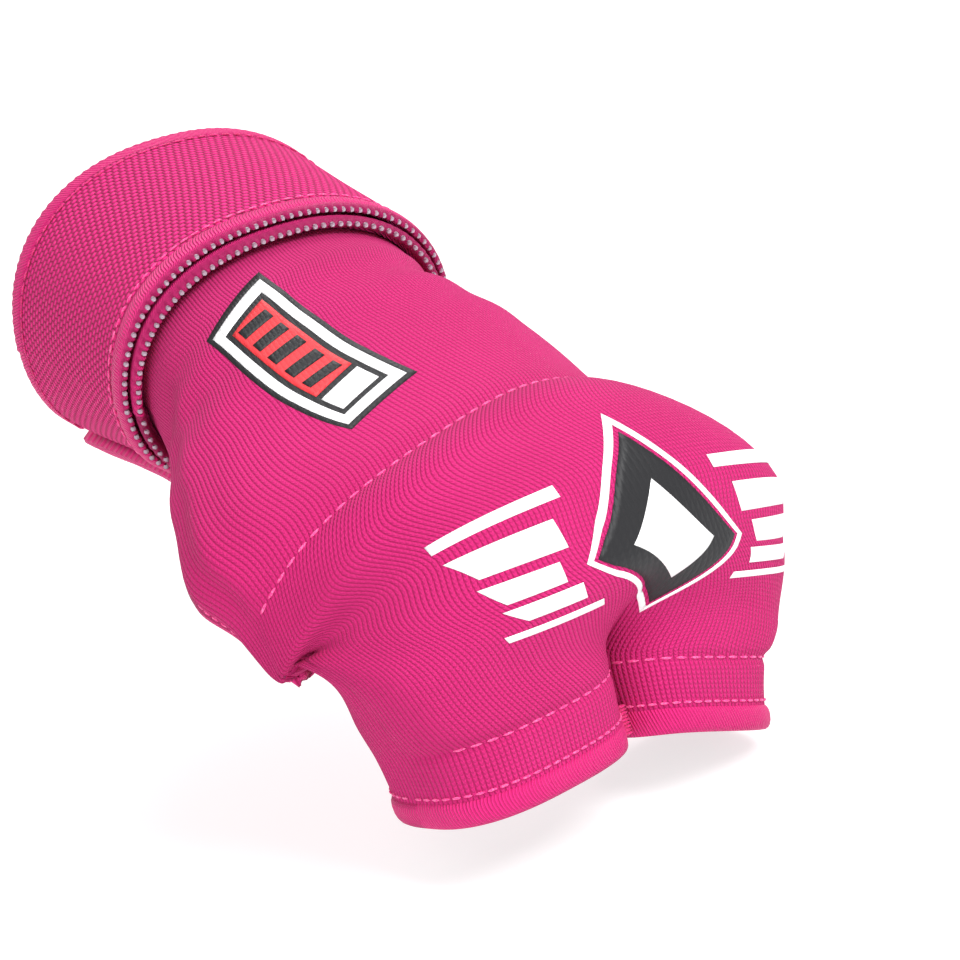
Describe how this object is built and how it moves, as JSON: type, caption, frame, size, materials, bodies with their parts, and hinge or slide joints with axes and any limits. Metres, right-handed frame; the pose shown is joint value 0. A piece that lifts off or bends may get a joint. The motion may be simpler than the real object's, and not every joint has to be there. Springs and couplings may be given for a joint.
{
  "type": "hand wrap",
  "caption": "Pull-on knitted hand wrap shaped to a closed fist, with a padded knuckle zone, thumb hole, two open finger pairs and an elastic wrist strap with a hook-and-loop tail.",
  "frame": {"origin": "centre of the wrist opening, in the plane of the strap's rear edge", "axes": "+X from the wrist towards the fingers along the strap's axis, +Y to the little-finger side, +Z out of the back of the wrist"},
  "size_m": [0.1326, 0.1088, 0.1082],
  "materials": {
    "knit": "matte ribbed knit",
    "strap_weave": "coarse woven elastic",
    "edge_tape": "satin cross-ribbed tape",
    "thread": "satin sewing thread",
    "lining": "brushed inner knit",
    "gel": "clear soft gel",
    "foam": "closed-cell foam",
    "hook": "hook pile",
    "loop": "loop pile",
    "print_black": "screen-print ink"
  },
  "bodies": {
    "hand": {"sleeve_cuff": "knit", "back_panel": "knit", "palm_panel": "knit", "side_seam": "knit", "thumb_side_seam": "knit", "thumb_hole_binding": "edge_tape", "thumb_binding_stitches": "thread", "back_patch": "print_black", "pad_seam_stitches": "thread", "strap_inner_turn": "strap_weave", "inner_edge_tapes": "edge_tape", "strap_outer_turn": "strap_weave", "outer_front_tape": "edge_tape", "outer_rear_tape": "edge_tape", "strap_edge_stitches": "thread", "strap_anchor_stitches": "thread", "loop_patch": "loop", "knuckle_cover": "knit", "gel_pad": "gel", "foam_backing": "foam", "pocket_liner": "lining", "palm_crease_panel": "knit", "knuckle_print": "print_black"},
    "tail_root": {"tail_root_band": "strap_weave", "tail_root_tapes": "edge_tape"},
    "tail_end": {"tail_end_band": "strap_weave", "tail_end_tapes": "edge_tape", "hook_patch": "hook", "hook_patch_stitches": "thread"},
    "fingers": {"index_middle_tube": "knit", "ring_little_tube": "knit", "index_middle_binding": "edge_tape", "ring_little_binding": "edge_tape", "divider_bar_tack": "thread", "finger_binding_stitches": "thread", "lower_pad_stitches": "thread"}
  },
  "joints": [
    {"name": "knuckle_flex", "type": "hinge", "parent": "hand", "child": "fingers", "pos_m": [0.10475, 0.01754, -0.02323], "axis": [0.3347, -0.9412, -0.0471], "range_deg": [0, 50], "deforming": ["knuckle_cover", "gel_pad", "foam_backing", "pocket_liner", "palm_crease_panel", "knuckle_print"]},
    {"name": "tail_peel", "type": "hinge", "parent": "hand", "child": "tail_root", "pos_m": [0.02181, 0.01982, -0.02522], "axis": [0.9937, 0.028, 0.1083], "range_deg": [0, 100]},
    {"name": "tail_uncurl", "type": "hinge", "parent": "tail_root", "child": "tail_end", "pos_m": [0.02402, -0.01097, -0.02918], "axis": [0.9936, 0.025, 0.1104], "range_deg": [0, 50]}
  ],
  "couplings": [
    {"joint": "tail_uncurl", "follows": "tail_peel", "ratio": 0.5}
  ]
}
